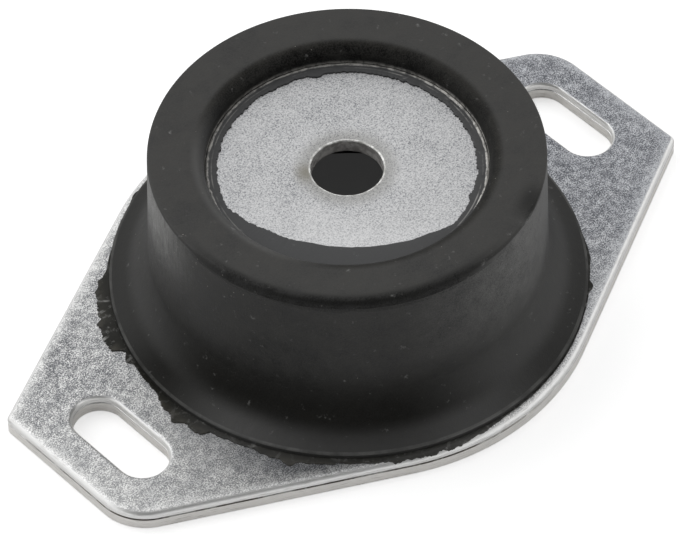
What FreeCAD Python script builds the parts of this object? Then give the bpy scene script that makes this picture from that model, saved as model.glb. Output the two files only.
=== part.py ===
# Bonded rubber-to-metal engine mount: a stamped steel base plate with two slots,
# a moulded rubber body bonded to it, and a steel top disc with the bolt hole bonded
# into the rubber's crown. Millimetres, +Z up. The origin is the middle of the plate's
# underside, and the X axis runs through the middles of the two slots.

import FreeCAD, Part
import math
import os

# Heights
overall_height = 42.5
plate_thickness = 4.6
disc_thickness = 3.2
recess_depth = 4.9          # crown of the rubber down to the face of the top disc

# Rubber body, outside
crown_radius = 41.0
wall_draft = 1.8            # degrees, wider towards the flange
crown_edge_bevel = 0.35
flange_radius = 50.4
flange_lip = 1.4            # upright edge of the flange above the plate
flange_lip_bevel = 0.4
flange_slope = 20.0         # degrees, flange rising towards the wall
wall_fillet = 11.0

# Rubber body, recess in the crown
recess_radius = 29.5
recess_round = 2.8
recess_draft = 3.0          # degrees
film_thickness = 0.4        # skin of rubber left on the disc
film_radius = 26.8          # inner edge of that skin
film_tongue_radius = 36.0   # the skin reaches further in on one side, to this circle
film_tongue_shift = 14.0
film_tongue_heading = 41.0  # degrees from +X, away from the side that reaches in

# Rubber body, inside and underneath
disc_cover = 5.5            # rubber outside the rim of the top disc
disc_skin = 1.2             # rubber under the top disc
disc_skin_setback = 2.5     # bare steel round the bolt hole, underneath
cavity_mouth_radius = 38.0
cavity_top_radius = 22.0
cavity_shoulder = 4.0       # sloping shoulder between the cavity's wall and its roof
foot_setback = 0.4          # rubber stays this far above the plate's underside
foot_bevel = 1.0

# Parting groove under the crown's edge, deepest on one side
groove_drop = 1.2           # middle of the groove below the crown
groove_depth = 0.45
groove_half_span = 48.0     # degrees each side of the deepest point
groove_heading = 225.6      # degrees from +X

# Top disc
bolt_hole_radius = 7.5
bolt_hole_bevel = 0.4

# Base plate
plate_opening_radius = 41.0
plate_margin = 2.0          # steel outside the rubber's flange
slot_spacing = 128.3
slot_width = 11.0
slot_length = 24.7
slot_end_margin = 8.15      # steel between a slot and the plate's end
sharp_corner_radius = 1.6
sharp_corner_reach = 12.35  # corner's centre beyond the slot's end centre, along Y
round_corner_radius = 11.8
round_corner_reach = 3.25
edge_roll = 1.4             # upper edge of the outline, drawn over by the punch
slot_edge_roll = 0.9        # the same at the slots, as a bevel

UP = FreeCAD.Vector(0, 0, 1)
ORIGIN = FreeCAD.Vector(0, 0, 0)

disc_top = overall_height - recess_depth
disc_bottom = disc_top - disc_thickness
disc_radius = crown_radius - disc_cover


def direction(degrees):
    """Unit vector in the XY plane."""
    angle = math.radians(degrees)
    return FreeCAD.Vector(math.cos(angle), math.sin(angle), 0)


def corner_curve(before, corner, after, kind, size):
    """Curve that replaces one corner: a sweep of radius size, or a bevel size back each way."""
    back = (before - corner).normalize()
    ahead = (after - corner).normalize()
    if kind == "bevel":
        return Part.LineSegment(corner + back * size, corner + ahead * size)
    half = back.getAngle(ahead) / 2
    tangent = size / math.tan(half)
    # handles of this length keep the cubic within a thousandth of a true arc
    handle = size * 4 / 3 * math.tan((math.pi / 2 - half) / 2)
    start = corner + back * tangent
    end = corner + ahead * tangent
    sweep = Part.BezierCurve()
    sweep.setPoles([start, start - back * handle, end - ahead * handle, end])
    return sweep


def revolved(corners):
    """Solid of revolution about Z from corners (radius, height), each with an optional
    ("round", radius) or ("bevel", size) after it."""
    points = [FreeCAD.Vector(corner[0], 0, corner[1]) for corner in corners]
    edges = []
    starts = []
    ends = []
    for index, corner in enumerate(corners):
        point = points[index]
        if len(corner) == 2:
            starts.append(point)
            ends.append(point)
            continue
        after = points[(index + 1) % len(points)]
        curve = corner_curve(points[index - 1], point, after, corner[2], corner[3])
        starts.append(curve.StartPoint)
        ends.append(curve.EndPoint)
        edges.append(curve.toShape())
    for index, end in enumerate(ends):
        edges.append(Part.LineSegment(end, starts[(index + 1) % len(points)]).toShape())
    wire = Part.Wire(Part.__sortEdges__(edges))
    return Part.Face(wire).revolve(ORIGIN, UP, 360)


def disc_hull(discs):
    """Face bounded by a belt drawn round discs, given anticlockwise as (centre, radius)."""
    normals = []
    for index, (centre, radius) in enumerate(discs):
        next_centre, next_radius = discs[(index + 1) % len(discs)]
        along = next_centre - centre
        lean = math.acos((radius - next_radius) / along.Length)
        normals.append(math.degrees(math.atan2(along.y, along.x) - lean))
    edges = []
    for index, (centre, radius) in enumerate(discs):
        arrive = normals[index - 1]
        sweep = (normals[index] - arrive) % 360
        leave = arrive + sweep
        edges.append(Part.Arc(centre + direction(arrive) * radius,
                              centre + direction(arrive + sweep / 2) * radius,
                              centre + direction(leave) * radius).toShape())
        next_centre, next_radius = discs[(index + 1) % len(discs)]
        edges.append(Part.LineSegment(centre + direction(leave) * radius,
                                      next_centre + direction(leave) * next_radius).toShape())
    return Part.Face(Part.Wire(edges))


def slot_end_centres(side):
    """Centres of the two round ends of the slot on the +X or -X side."""
    reach = (slot_length - slot_width) / 2
    return [FreeCAD.Vector(side * slot_spacing / 2, end * reach, 0) for end in (-1, 1)]


def plate_discs():
    """Corner discs and the round middle of the plate's outline, anticlockwise."""
    half_length = slot_spacing / 2 + slot_width / 2 + slot_end_margin
    end_centre = (slot_length - slot_width) / 2
    middle = (ORIGIN, flange_radius + plate_margin)
    discs = []
    for side in (1, -1):
        sharp = FreeCAD.Vector(side * (half_length - sharp_corner_radius),
                               -side * (end_centre + sharp_corner_reach), 0)
        rounded = FreeCAD.Vector(side * (half_length - round_corner_radius),
                                 side * (end_centre + round_corner_reach), 0)
        discs.append((sharp, sharp_corner_radius))
        discs.append((rounded, round_corner_radius))
        discs.append(middle)
    return discs


def is_top_edge(edge):
    """True for an edge that lies in the plate's top face."""
    return all(abs(vertex.Z - plate_thickness) < 1e-6 for vertex in edge.Vertexes)


def slot_cutter(side):
    """Slot with parallel sides, opening out at the plate's top face."""
    ends = [(centre, slot_width / 2) for centre in slot_end_centres(side)]
    slot = disc_hull(ends).extrude(UP * plate_thickness)
    wide = [(centre + UP * plate_thickness, slot_width / 2 + slot_edge_roll)
            for centre in slot_end_centres(side)]
    narrow = [(centre + UP * (plate_thickness - slot_edge_roll), slot_width / 2)
              for centre in slot_end_centres(side)]
    wires = [disc_hull(narrow).OuterWire, disc_hull(wide).OuterWire]
    return slot.fuse(Part.makeLoft(wires, True, True))


def base_plate():
    """Stamped plate: outline and slots punched from above, so their upper edges are drawn over."""
    plate = disc_hull(plate_discs()).extrude(UP * plate_thickness)
    plate = plate.makeFillet(edge_roll, [e for e in plate.Edges if is_top_edge(e)])
    opening = Part.makeCylinder(plate_opening_radius, plate_thickness)
    return plate.cut([opening, slot_cutter(1), slot_cutter(-1)])


def top_disc():
    """Steel disc bonded into the crown, with the engine's bolt hole."""
    return revolved([
        (bolt_hole_radius, disc_bottom),
        (disc_radius, disc_bottom),
        (disc_radius, disc_top),
        (bolt_hole_radius, disc_top, "bevel", bolt_hole_bevel),
    ])


def body_section():
    """Corners of the rubber's section: foot, flange, wall, crown, recess, disc seat, cavity."""
    draft = math.tan(math.radians(wall_draft))
    slope = math.tan(math.radians(flange_slope))
    lip_top = plate_thickness + flange_lip
    film_top = disc_top + film_thickness
    skin_bottom = disc_bottom - disc_skin
    # the drafted wall r = crown_radius + (overall_height - z) * draft meets the flange's
    # slope z = lip_top + (flange_radius - r) * slope at the root of the wall
    root_height = ((lip_top + (flange_radius - crown_radius - overall_height * draft) * slope)
                   / (1 - draft * slope))
    root_radius = crown_radius + (overall_height - root_height) * draft
    recess_foot = recess_radius - (overall_height - film_top) * math.tan(math.radians(recess_draft))
    return [
        (cavity_mouth_radius, foot_setback, "bevel", foot_bevel),
        (plate_opening_radius, foot_setback),
        (plate_opening_radius, plate_thickness),
        (flange_radius, plate_thickness),
        (flange_radius, lip_top, "bevel", flange_lip_bevel),
        (root_radius, root_height, "round", wall_fillet),
        (crown_radius, overall_height, "bevel", crown_edge_bevel),
        (recess_radius, overall_height, "round", recess_round),
        (recess_foot, film_top),
        (film_radius, film_top),
        (film_radius, disc_top),
        (disc_radius, disc_top),
        (disc_radius, disc_bottom),
        (bolt_hole_radius + disc_skin_setback, disc_bottom),
        (bolt_hole_radius + disc_skin_setback, skin_bottom),
        (cavity_top_radius, skin_bottom, "bevel", cavity_shoulder),
    ]


def film_tongue():
    """Crescent of rubber skin that reaches further in over the disc on one side."""
    centre = direction(film_tongue_heading) * film_tongue_shift + UP * disc_top
    bare = Part.makeCylinder(film_tongue_radius, film_thickness, centre)
    return Part.makeCylinder(film_radius, film_thickness, UP * disc_top).cut(bare)


def parting_groove():
    """V-shaped ring set off the axis, so that it bites only on one side of the wall."""
    off_axis = groove_depth / (1 - math.cos(math.radians(groove_half_span)))
    height = overall_height - groove_drop
    wall_radius = crown_radius + groove_drop * math.tan(math.radians(wall_draft))
    root = wall_radius - groove_depth + off_axis
    mouth = groove_depth + off_axis
    ring = revolved([
        (root, height),
        (root + mouth, height - mouth),
        (root + mouth, height + mouth),
    ])
    return ring.translated(direction(groove_heading) * -off_axis)


def rubber_body():
    """Moulded rubber, one piece from the foot in the plate's opening to the crown."""
    body = revolved(body_section()).fuse(film_tongue())
    return body.cut(parting_groove()).removeSplitter()


def export(name, shape):
    """Write one sub-part to parts/name.step."""
    print(name, "solids", len(shape.Solids), "valid", shape.isValid(), "volume", round(shape.Volume))
    shape.exportStep(os.path.join("parts", name + ".step"))


os.makedirs("parts", exist_ok=True)
export("base_plate", base_plate())
export("rubber_body", rubber_body())
export("top_disc", top_disc())
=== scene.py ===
# %% [markdown]
# # A rubber-to-metal engine mount, dressed piece by piece
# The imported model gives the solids. They could be given materials as they are, but their facets
# are too coarse for torn skins and rolled edges. So each one is built again here as a finer
# mesh, with the marks that pressing, plating and moulding leave, and gets a finish of nodes.

# %% Load the frame
import math
import bmesh
import bpy
from mathutils import Matrix, Vector, noise


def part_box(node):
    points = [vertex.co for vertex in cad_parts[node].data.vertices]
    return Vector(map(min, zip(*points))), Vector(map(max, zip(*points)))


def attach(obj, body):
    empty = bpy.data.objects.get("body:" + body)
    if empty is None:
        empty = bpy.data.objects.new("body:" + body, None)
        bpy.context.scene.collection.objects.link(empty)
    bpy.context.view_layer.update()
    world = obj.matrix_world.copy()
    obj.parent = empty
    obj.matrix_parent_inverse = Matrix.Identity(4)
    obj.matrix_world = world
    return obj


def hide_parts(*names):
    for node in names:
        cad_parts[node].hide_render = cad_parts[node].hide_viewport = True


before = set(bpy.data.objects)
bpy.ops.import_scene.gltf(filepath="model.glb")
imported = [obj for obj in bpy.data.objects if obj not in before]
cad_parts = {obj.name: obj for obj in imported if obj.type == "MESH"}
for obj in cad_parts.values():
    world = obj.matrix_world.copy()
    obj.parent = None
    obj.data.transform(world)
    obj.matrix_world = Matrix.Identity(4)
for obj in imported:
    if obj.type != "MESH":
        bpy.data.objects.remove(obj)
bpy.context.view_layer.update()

# %% [markdown]
# ## Sizes
# A maker reads and checks a mount in millimetres, so the sizes are in millimetres and only the
# finished meshes are in metres. All sizes could be typed in, but then nothing would follow when
# a solid changes. So the outer sizes come from the solids' own boxes, and only what a box
# can't tell is written here.

# %% Sizes of the pieces, in millimetres
MM = 0.001


def box_mm(node):
    """Lowest and highest corner of a solid, in millimetres."""
    low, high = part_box(node)
    return low / MM, high / MM


plate_low, plate_high = box_mm("base_plate")
rubber_low, rubber_high = box_mm("rubber_body")
disc_low, disc_high = box_mm("top_disc")

# base plate
plate_top = plate_high.z
plate_underside = plate_low.z
plate_end = plate_high.x
plate_middle = plate_high.y  # radius of the outline's round middle
sharp_corner_radius = 1.6
sharp_corner_reach = 19.2  # from the long axis to the middle of the sharp corner's disc
round_corner_radius = 11.8
round_corner_reach = 10.1
opening_radius = 41.0
slot_reach = 64.15
slot_half_width = 5.5
slot_half_travel = 6.85
edge_roll = 1.4
slot_roll = 0.9
band_top = 2.66  # the sheared band of a punched edge ends here, and the torn line begins

# rubber moulding
flange_radius = rubber_high.x
lip_top = plate_top + 1.4
crown_top = rubber_high.z
crown_radius = 41.0
wall_slope = math.tan(math.radians(1.8))
flange_slope = math.tan(math.radians(20.0))
wall_fillet = 11.0
recess_radius = 29.5
recess_round = 2.8
recess_slope = math.tan(math.radians(3.0))
film_thickness = 0.4
film_radius = 26.8
tongue_radius = 36.0  # the skin reaches further in on one side, to this circle
tongue_shift = 14.0
tongue_heading = 41.0
groove_heading = 225.6
groove_half_span = 48.0
groove_depth = 0.45
hollow_mouth = 38.0
hollow_roof = 22.0
disc_skin = 1.2
bare_ring = 10.0  # the steel is bare round the bolt hole, underneath

# top disc
hole_radius = 7.5
disc_top = disc_high.z
disc_bottom = disc_low.z
disc_radius = disc_high.x
film_top = disc_top + film_thickness
print("plate", round(plate_end, 2), "x", round(plate_middle, 2), "crown", round(crown_top, 2))

# %% [markdown]
# ## Headings, steps and noise
# Wear and tears sit at a heading round the part, so the sections are functions of a heading in
# degrees. Random numbers could roughen them, but would leave a seam where the circle closes.
# Noise that is read along a circle closes on itself and gives the same edge every time.

# %% Headings, steps and noise
def bearing(degrees):
    """Unit vector in the plan, from +X."""
    angle = math.radians(degrees)
    return Vector((math.cos(angle), math.sin(angle)))


def apart(first, second):
    """Degrees between two headings, 0 to 180."""
    return abs((first - second + 180) % 360 - 180)


def ease(low, high, value):
    """0 below low, 1 above high, and a smooth step between."""
    t = min(max((value - low) / (high - low), 0.0), 1.0)
    return t * t * (3 - 2 * t)


def grain_round(degrees, period, seed):
    """Noise from -1 to 1 that closes on itself round the axis; period is in degrees."""
    size = 180 / (math.pi * period)
    at = bearing(degrees) * size
    return noise.noise(Vector((at.x + seed, at.y - seed, seed)))


# %% [markdown]
# ## Skins
# Two ways of skinning are enough for the mount: a lathe for what is round, and stacked outlines
# for what is stamped. Modifiers could do both, but they repeat one shape. Here each loop of
# vertices comes from a function, and neighbouring loops are joined by quads.

# %% Section, quads and lathe
def section_line(corners):
    """Points along a section whose corners are (radius, height) or, where they are rounded,
    (radius, height, rounding, steps)."""
    points = []
    for index, corner in enumerate(corners):
        here = Vector(corner[:2])
        if len(corner) == 2:
            points.append(here)
            continue
        back = (Vector(corners[index - 1][:2]) - here).normalized()
        ahead = (Vector(corners[(index + 1) % len(corners)][:2]) - here).normalized()
        half = back.angle(ahead) / 2
        middle = here + (back + ahead).normalized() * (corner[2] / math.sin(half))
        start = here + back * (corner[2] / math.tan(half)) - middle
        end = here + ahead * (corner[2] / math.tan(half)) - middle
        points += [middle + start.slerp(end, step / corner[3]) * corner[2]
                   for step in range(corner[3] + 1)]
    return points


def join_loops(shaped, first, second):
    """Quads between two closed loops that have as many vertices."""
    for index in range(len(first)):
        after = (index + 1) % len(first)
        shaped.faces.new((first[index], second[index], second[after], first[after]))


def finish_piece(name, shaped, sharp):
    """Object from an edit mesh, shaded smooth but for edges that turn by more than sharp degrees."""
    bmesh.ops.recalc_face_normals(shaped, faces=shaped.faces)
    mesh = bpy.data.meshes.new(name)
    shaped.to_mesh(mesh)
    shaped.free()
    mesh.polygons.foreach_set("use_smooth", [True] * len(mesh.polygons))
    mesh.set_sharp_from_angle(angle=math.radians(sharp))
    piece = bpy.data.objects.new(name, mesh)
    bpy.context.scene.collection.objects.link(piece)
    print(name, len(mesh.vertices), "vertices,", len(mesh.polygons), "faces")
    return piece


def lathe(name, section_at, segments, sharp):
    """Closed skin round the axis; section_at(degrees) gives the same count of points each time."""
    shaped = bmesh.new()
    loops = []
    for segment in range(segments):
        degrees = 360 * segment / segments
        across = bearing(degrees)
        loops.append([shaped.verts.new(Vector((across.x * p.x, across.y * p.x, p.y)) * MM)
                      for p in section_at(degrees)])
    for index, loop in enumerate(loops):
        join_loops(shaped, loop, loops[(index + 1) % segments])
    return finish_piece(name, shaped, sharp)


# %% [markdown]
# ## The rubber moulding
# The rubber is squeezed into a closed mould round the two steels. Its halves never meet quite
# true, which leaves a parting groove under the crown, deepest on one side. Where the disc shuts
# the mould off, a thin skin creeps in over the steel and tears when the part is pulled out.
# Such marks could be sculpted. A formula of the heading is quicker to change and to check.

# %% Marks round the rubber moulding
def groove_bite(degrees):
    """Depth of the parting groove, which is cut off centre."""
    off_axis = groove_depth / (1 - math.cos(math.radians(groove_half_span)))
    shallower = off_axis * (1 - math.cos(math.radians(apart(degrees, groove_heading))))
    return max(0.0, groove_depth - shallower)


def front_wear(degrees):
    """1 where the crown's edge is worn round on one side, 0 where it is still crisp."""
    return 1 - ease(28.0, 60.0, apart(degrees, groove_heading))


def skin_edge(degrees):
    """Radius at which the skin on the disc stops; it reaches further in on one side."""
    along = math.cos(math.radians(degrees - tongue_heading))
    across = math.sin(math.radians(degrees - tongue_heading))
    bare = tongue_shift * along + math.sqrt(tongue_radius ** 2 - (tongue_shift * across) ** 2)
    frayed = ease(20.0, 60.0, apart(degrees, 236.0))
    ragged = 0.08 * grain_round(degrees, 2.0, 3.1) + 0.26 * grain_round(degrees, 8.0, 8.4)
    ragged += frayed * (0.3 * grain_round(degrees, 0.8, 5.7) + 0.2 * grain_round(degrees, 2.0, 3.1))
    nick = 0.6 * (1 - ease(0.3, 4.0, apart(degrees, 60.6)))
    tear = 0.7 * (1 - ease(0.4, 3.2, apart(degrees, 299.0))) * (0.6 + grain_round(degrees, 0.7, 1.2))
    return min(film_radius, bare) + ragged - nick - tear


def torn_line(degrees):
    """Height of the torn line left at the foot of the recess, broken and mostly on three sides."""
    broken = ease(-0.35, 0.15, grain_round(degrees, 6.0, 1.7))
    three_sides = ease(42.0, 62.0, apart(degrees, groove_heading))
    lumpy = 0.85 + 0.4 * grain_round(degrees, 1.3, 6.6) + 0.5 * grain_round(degrees, 3.7, 2.9)
    return max(0.0, (0.15 + 0.20 * broken) * three_sides * lumpy)


print("skin on the disc stops at radius", round(min(map(skin_edge, range(360))), 1), "to",
      round(max(map(skin_edge, range(360))), 1))

# %% [markdown]
# ### Section of the moulding
# The section is what a moulder would draw: a foot that locks in the plate's opening, a flange,
# a wide sweep up to a slightly drafted wall, a crown, and a recess that leaves the disc bare. A
# Bevel modifier could round its corners, but would round the torn edges with them. So each
# corner carries its own rounding, and the marks move the corners next to them.

# %% Section of the moulding
def wall_radius(height):
    """Radius of the drafted wall at one height."""
    return crown_radius + (crown_top - height) * wall_slope


def recess_corners(degrees):
    """Corners from the skin's edge on the disc, over the torn line, to the mouth of the recess."""
    edge = skin_edge(degrees)
    foot = recess_radius - (crown_top - film_top) * recess_slope
    torn = torn_line(degrees)
    sway = 0.12 * grain_round(degrees, 2.6, 9.3)
    return [
        (edge, disc_top), (edge, film_top - 0.1, 0.09, 2), (edge + 0.35, film_top + 0.02),
        (foot - 0.85 + sway, film_top), (foot - 0.6 + sway, film_top + 0.6 * torn),
        (foot - 0.42 + sway, film_top + torn), (foot - 0.2, film_top + 0.4 * torn),
        (foot, film_top), (recess_radius, crown_top - 0.02, recess_round, 12)]


def crown_corners(degrees, swell):
    """Corners over the crown's ring, round its edge and down past the parting groove."""
    dent = 1 - ease(0.8, 5.5, apart(degrees, 291.0))
    lumps = grain_round(degrees, 5.0, 7.3) + 0.5 * grain_round(degrees, 1.4, 2.6)
    wear = front_wear(degrees)
    edge_radius = crown_radius - 0.9 * dent - 0.3 * wear
    edge_round = 0.45 + wear * (1.1 + 0.25 * lumps)
    edge_drop = 0.02 + 0.4 * dent + 0.35 * wear
    corners = [(radius, crown_top - 0.03 + 0.4 * swell) for radius in (33.5, 35.0, 36.5, 38.0)]
    corners.append((edge_radius, crown_top - edge_drop, edge_round, 8))
    parting = crown_top - edge_drop - 0.97 * edge_round - 0.45
    bite = 0.7 * groove_bite(degrees) * (1 + 0.5 * lumps)
    for step in range(-5, 15):
        height = parting - 0.08 * step
        slant = 0.09 if step < 0 else 0.036  # the groove is steeper above its root than below
        corners.append((wall_radius(height) - max(0.0, bite - slant * abs(step)), height))
    return corners


def rubber_section(degrees):
    """Section of the moulding at one heading, from the skin on the disc outwards and round."""
    swell = 0.05 * grain_round(degrees, 16.0, 4.4)
    corners = recess_corners(degrees) + crown_corners(degrees, swell)
    corners += [(wall_radius(height) + swell, height) for height in (38.0, 34.0, 30.0, 26.0)]
    # the wall meets the flange's slope here, before the sweep rounds the corner off
    root = ((lip_top + (flange_radius - crown_radius - crown_top * wall_slope) * flange_slope)
            / (1 - wall_slope * flange_slope))
    corners += [(wall_radius(root), root, wall_fillet, 24)]
    corners += [(flange_radius, lip_top, 0.45, 5), (flange_radius, plate_top)]
    corners += [(opening_radius, plate_top), (opening_radius, rubber_low.z)]
    corners += [(hollow_mouth, rubber_low.z, 1.0, 5), (hollow_roof, disc_bottom - disc_skin, 4.0, 10)]
    corners += [(bare_ring, disc_bottom - disc_skin, 0.3, 3), (bare_ring, disc_bottom)]
    corners += [(disc_radius, disc_bottom), (disc_radius, disc_top)]
    return section_line(corners)


print("section of the moulding:", len(rubber_section(0.0)), "points")

# %% [markdown]
# ### Turning the moulding
# The section is drawn at 800 headings, which shows the finest shreds of the skin and keeps the
# piece under 200,000 triangles. A Subdivision modifier would smooth it further, but would pass
# that limit at once. Edges that turn by less than 40 degrees are shaded smooth, and the torn
# edges stay crisp.

# %% Build the rubber moulding
moulded_rubber = lathe("moulded_rubber", rubber_section, 800, 40.0)
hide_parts("rubber_body")
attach(moulded_rubber, "root")

# %% [markdown]
# ## The stamped plate
# The punch draws the plate's upper edge over before it cuts, so the edge is a smooth roll, a
# short burnished land, a thin dark line where the steel starts to tear, and a sheared band
# below it. The slots are punched from the same side. A Bevel modifier could roll the edge, but
# not tear it. Here the outline is a belt round four corner discs and the round middle, and
# making the discs smaller gives every ring of the edge in turn.

# %% Outlines of the plate and its slots
def plate_corners():
    """Discs that the plate's outline is drawn round, anticlockwise: (centre, radius)."""
    corners = []
    for side in (1, -1):
        corners.append((Vector((side * (plate_end - sharp_corner_radius), -side * sharp_corner_reach)),
                        sharp_corner_radius))
        corners.append((Vector((side * (plate_end - round_corner_radius), side * round_corner_reach)),
                        round_corner_radius))
        corners.append((Vector((0.0, 0.0)), plate_middle))
    return corners


def slot_corners(side):
    """The same for a slot, which is a belt round two equal discs."""
    return [(Vector((side * slot_reach, end * slot_half_travel)), slot_half_width)
            for end in (-1, 1)]


def belt_headings(corners):
    """Heading of the outward normal on each straight stretch of the belt."""
    headings = []
    for index, (centre, radius) in enumerate(corners):
        next_centre, next_radius = corners[(index + 1) % len(corners)]
        along = next_centre - centre
        lean = math.acos((radius - next_radius) / along.length)
        headings.append(math.degrees(math.atan2(along.y, along.x) - lean))
    return headings


def belt(corners, inset, arc_steps):
    """Points of the belt round discs that are all made smaller by inset."""
    headings = belt_headings(corners)
    points = []
    for index, (centre, radius) in enumerate(corners):
        arrive = headings[index - 1]
        sweep = (headings[index] - arrive) % 360
        for step in range(arc_steps + 1):
            points.append(centre + bearing(arrive + sweep * step / arc_steps) * (radius - inset))
        start = points[-1]
        next_centre, next_radius = corners[(index + 1) % len(corners)]
        end = next_centre + bearing(headings[index]) * (next_radius - inset)
        points += [start.lerp(end, step / 24) for step in range(1, 24)]
    return points


print("headings of the plate's edges:", [round(h % 360, 1) for h in belt_headings(plate_corners())])

# %% [markdown]
# ### Rings of a punched edge
# Seen in section, a punched edge is a quarter round, a straight land, a shallow notch where it
# tore, and the sheared band. A profile swept along the outline would do as well, but would
# pinch at the sharp corners. Rings that are each a belt of their own stay clean there.

# %% Rings of a punched edge
def edge_rings(roll):
    """The stamped edge as (inset, height, wobble) from the flat top to the flat underside."""
    rings = [(roll + 0.25, plate_top, 0.0)]
    for step in range(9):
        turn = math.radians(90 * step / 8)
        rings.append((roll * (1 - math.sin(turn)), plate_top - roll * (1 - math.cos(turn)), 0.0))
    rings += [(0.0, 3.02, 1.0), (0.22, 2.9, 1.0), (0.22, 2.8, 1.0), (0.02, band_top, 1.0)]
    rings += [(0.02, 0.2, 0.0), (0.22, plate_underside, 0.0), (0.5, plate_underside, 0.0)]
    return rings


def add_edge(shaped, corners, roll, outward):
    """Rings of one stamped edge, joined by faces; gives back its top and bottom loops."""
    loops = []
    for inset, height, wobble in edge_rings(roll):
        ring = []
        for point in belt(corners, outward * inset, 30):
            drift = 0.16 * wobble * noise.noise(Vector((point.x, point.y, 2.0)) * 0.16)
            ring.append(shaped.verts.new(Vector((point.x, point.y, height + drift)) * MM))
        loops.append(ring)
    for upper, lower in zip(loops, loops[1:]):
        join_loops(shaped, upper, lower)
    return loops[0], loops[-1]


print("rings on the plate's edge:", len(edge_rings(edge_roll)))

# %% [markdown]
# ### Skinning the plate
# The flats lie between the outline, the two slots and the round opening. A Boolean modifier
# could cut the holes, but it could leave slivers against the rolled edges. Filling between the
# loops with triangles keeps every vertex of the edges where it is.

# %% Build the stamped plate
def ring_edges(shaped, ring):
    """Edges of one loop, made where they aren't there yet."""
    edges = []
    for index, vertex in enumerate(ring):
        pair = (vertex, ring[(index + 1) % len(ring)])
        edges.append(shaped.edges.get(pair) or shaped.edges.new(pair))
    return edges


def opening_ring(shaped, height):
    """Loop of the plate's round opening at one height."""
    return [shaped.verts.new(Vector((*(bearing(3 * step) * opening_radius), height)) * MM)
            for step in range(120)]


def stamped_plate():
    """The plate: outer edge, two slots, the round opening, and the flats between them."""
    shaped = bmesh.new()
    loops = [add_edge(shaped, plate_corners(), edge_roll, 1)]
    loops += [add_edge(shaped, slot_corners(side), slot_roll, -1) for side in (1, -1)]
    opening = [opening_ring(shaped, height) for height in (plate_top, plate_underside)]
    join_loops(shaped, *opening)
    loops.append(opening)
    for level in (0, 1):
        edges = [edge for loop in loops for edge in ring_edges(shaped, loop[level])]
        bmesh.ops.triangle_fill(shaped, edges=edges, use_beauty=True, use_dissolve=False)
    return finish_piece("pressed_plate", shaped, 28.0)


pressed_plate = stamped_plate()
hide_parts("base_plate")
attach(pressed_plate, "root")

# %% [markdown]
# ## The top disc
# A plain round disc. The bolt hole is punched through it from above, so its upper rim is
# rolled over like the plate's own edge and catches the light as a bright ring. A cylinder with
# a bevel would come close, but the roll of a punched hole varies on its way round. So the disc
# is turned by the same lathe, and noise drives the rounding of its rim.

# %% Build the top disc
def disc_section(degrees):
    """Section of the disc, from the rolled rim of the hole outwards."""
    rolled = 0.36 + 0.12 * grain_round(degrees, 14.0, 2.7)
    return section_line([
        (hole_radius, disc_bottom + 0.15), (hole_radius, disc_top, rolled, 8),
        (14.0, disc_top), (21.0, disc_top), (disc_radius, disc_top), (disc_radius, disc_bottom),
        (hole_radius + 0.15, disc_bottom)])


crown_disc = lathe("crown_disc", disc_section, 256, 32.0)
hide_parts("top_disc")
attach(crown_disc, "root")

# %% [markdown]
# ## Flash round the flange
# Where the mould closes on the plate a little rubber squeezes out and sets as a thin ragged
# skin. It breaks off in blocks with blunt ends, and follows the plate's rolled edge where it
# gets that far. It could be a colour on the plate, but it is thick enough to throw a shadow.
# It is a piece of its own, because it is much finer than the moulding.

# %% Reach of the flash
FLASH = (  # heading round the part in degrees, reach past the flange in millimetres
    (0, 0.2), (20, 0.7), (40, 0.3), (72, 0.8), (90, 0.3), (108, 0.3), (111, 0.9), (114, 0.3),
    (128, 0.3), (134, 0.6), (142, 2.8), (155, 3.6), (160, 3.3), (161.5, 0.7), (164.5, 1.6), (166, 0.6),
    (175, 0.8), (181, 2.3), (185, 3.5), (188, 2.5), (192, 2.7), (193.5, 1.3), (204, 1.1),
    (210, 1.8), (214, 3.0), (216, 1.7), (227, 1.2), (238, 1.5), (250, 1.7), (258, 1.1),
    (268, 0.3), (305, 0.2), (310, 0.3), (312, 1.0), (314, 0.3), (322, 0.7), (330, 0.2), (360, 0.2))
ROUND_MIDDLE = (61.25, 118.75)  # headings between which the outline is taken as the round middle


def flash_reach(degrees):
    """How far the flash runs past the flange at one heading."""
    heading = (degrees + 0.5 * grain_round(degrees, 1.6, 4.1)) % 360
    after = next(index for index, stop in enumerate(FLASH) if stop[0] > heading)
    (start, near), (end, far) = FLASH[after - 1], FLASH[after]
    reach = near + (far - near) * ease(start, end, heading)
    bites = 0.16 * grain_round(degrees, 0.6, 5.2) + 0.3 * grain_round(degrees, 2.0, 7.9)
    return max(0.1, reach * (1 + bites))


def plate_height(radius, degrees):
    """Height of the plate's upper side, and how far the point lies inside its edge."""
    first, last = ROUND_MIDDLE
    nearest = min(max(degrees % 180, first), last)
    inside = plate_middle - radius * math.cos(math.radians(degrees % 180 - nearest))
    drop = max(0.0, edge_roll - inside)
    return plate_top - (edge_roll - math.sqrt(max(edge_roll ** 2 - drop ** 2, 0.0))), inside


print("flash reaches out by up to", round(max(map(flash_reach, range(360))), 1), "mm")

# %% [markdown]
# ### Skin of the flash
# The flash lies on the plate like a leaf: thin, smooth on top, and broken off at its rim. A
# Shrinkwrap modifier could press a flat ring onto the plate, but the plate's height is known
# from its roll, so the section is laid on it directly. 1800 headings give the small bites.

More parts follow.
